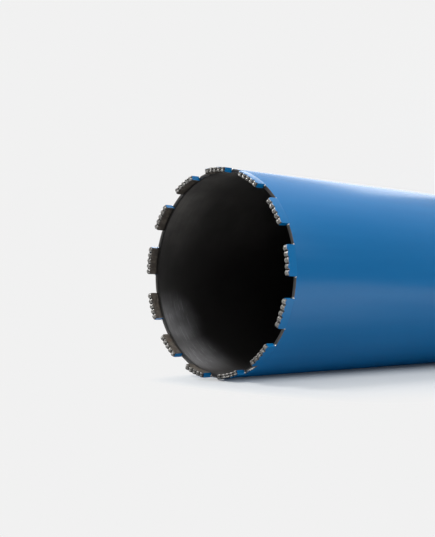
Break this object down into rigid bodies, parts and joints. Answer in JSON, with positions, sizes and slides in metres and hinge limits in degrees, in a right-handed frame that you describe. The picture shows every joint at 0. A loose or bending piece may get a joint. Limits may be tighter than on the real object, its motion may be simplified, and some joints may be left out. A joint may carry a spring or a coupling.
{
  "type": "diamond core bit",
  "caption": "Tubular diamond core bit: a steel barrel with diamond segments on its rim and a threaded hub that screws onto a core drill's spindle.",
  "frame": {"origin": "centre of the hub's end face, at the mouth of the spindle thread, on the bit's axis", "axes": "+Z along the bit's axis from the hub to the crown, so the bit stands on its hub with the cutting crown up; +X through the middle of segment_01"},
  "size_m": [0.1718, 0.172, 0.496],
  "materials": {
    "blue_paint": "satin blue paint outside, satin black paint inside the barrel",
    "segment_metal": "rough grey sintered metal with diamond grit, blue overspray on the outer and end faces",
    "hub_steel": "turned steel"
  },
  "bodies": {
    "root": {"barrel": "blue_paint", "back_plate": "blue_paint", "barrel_weld": "blue_paint", "hub_weld": "blue_paint", "hub": "hub_steel", "segment_01": "segment_metal", "segment_02": "segment_metal", "segment_03": "segment_metal", "segment_04": "segment_metal", "segment_05": "segment_metal", "segment_06": "segment_metal", "segment_07": "segment_metal", "segment_08": "segment_metal", "segment_09": "segment_metal", "segment_10": "segment_metal", "segment_11": "segment_metal", "segment_12": "segment_metal", "segment_13": "segment_metal"}
  },
  "joints": []
}
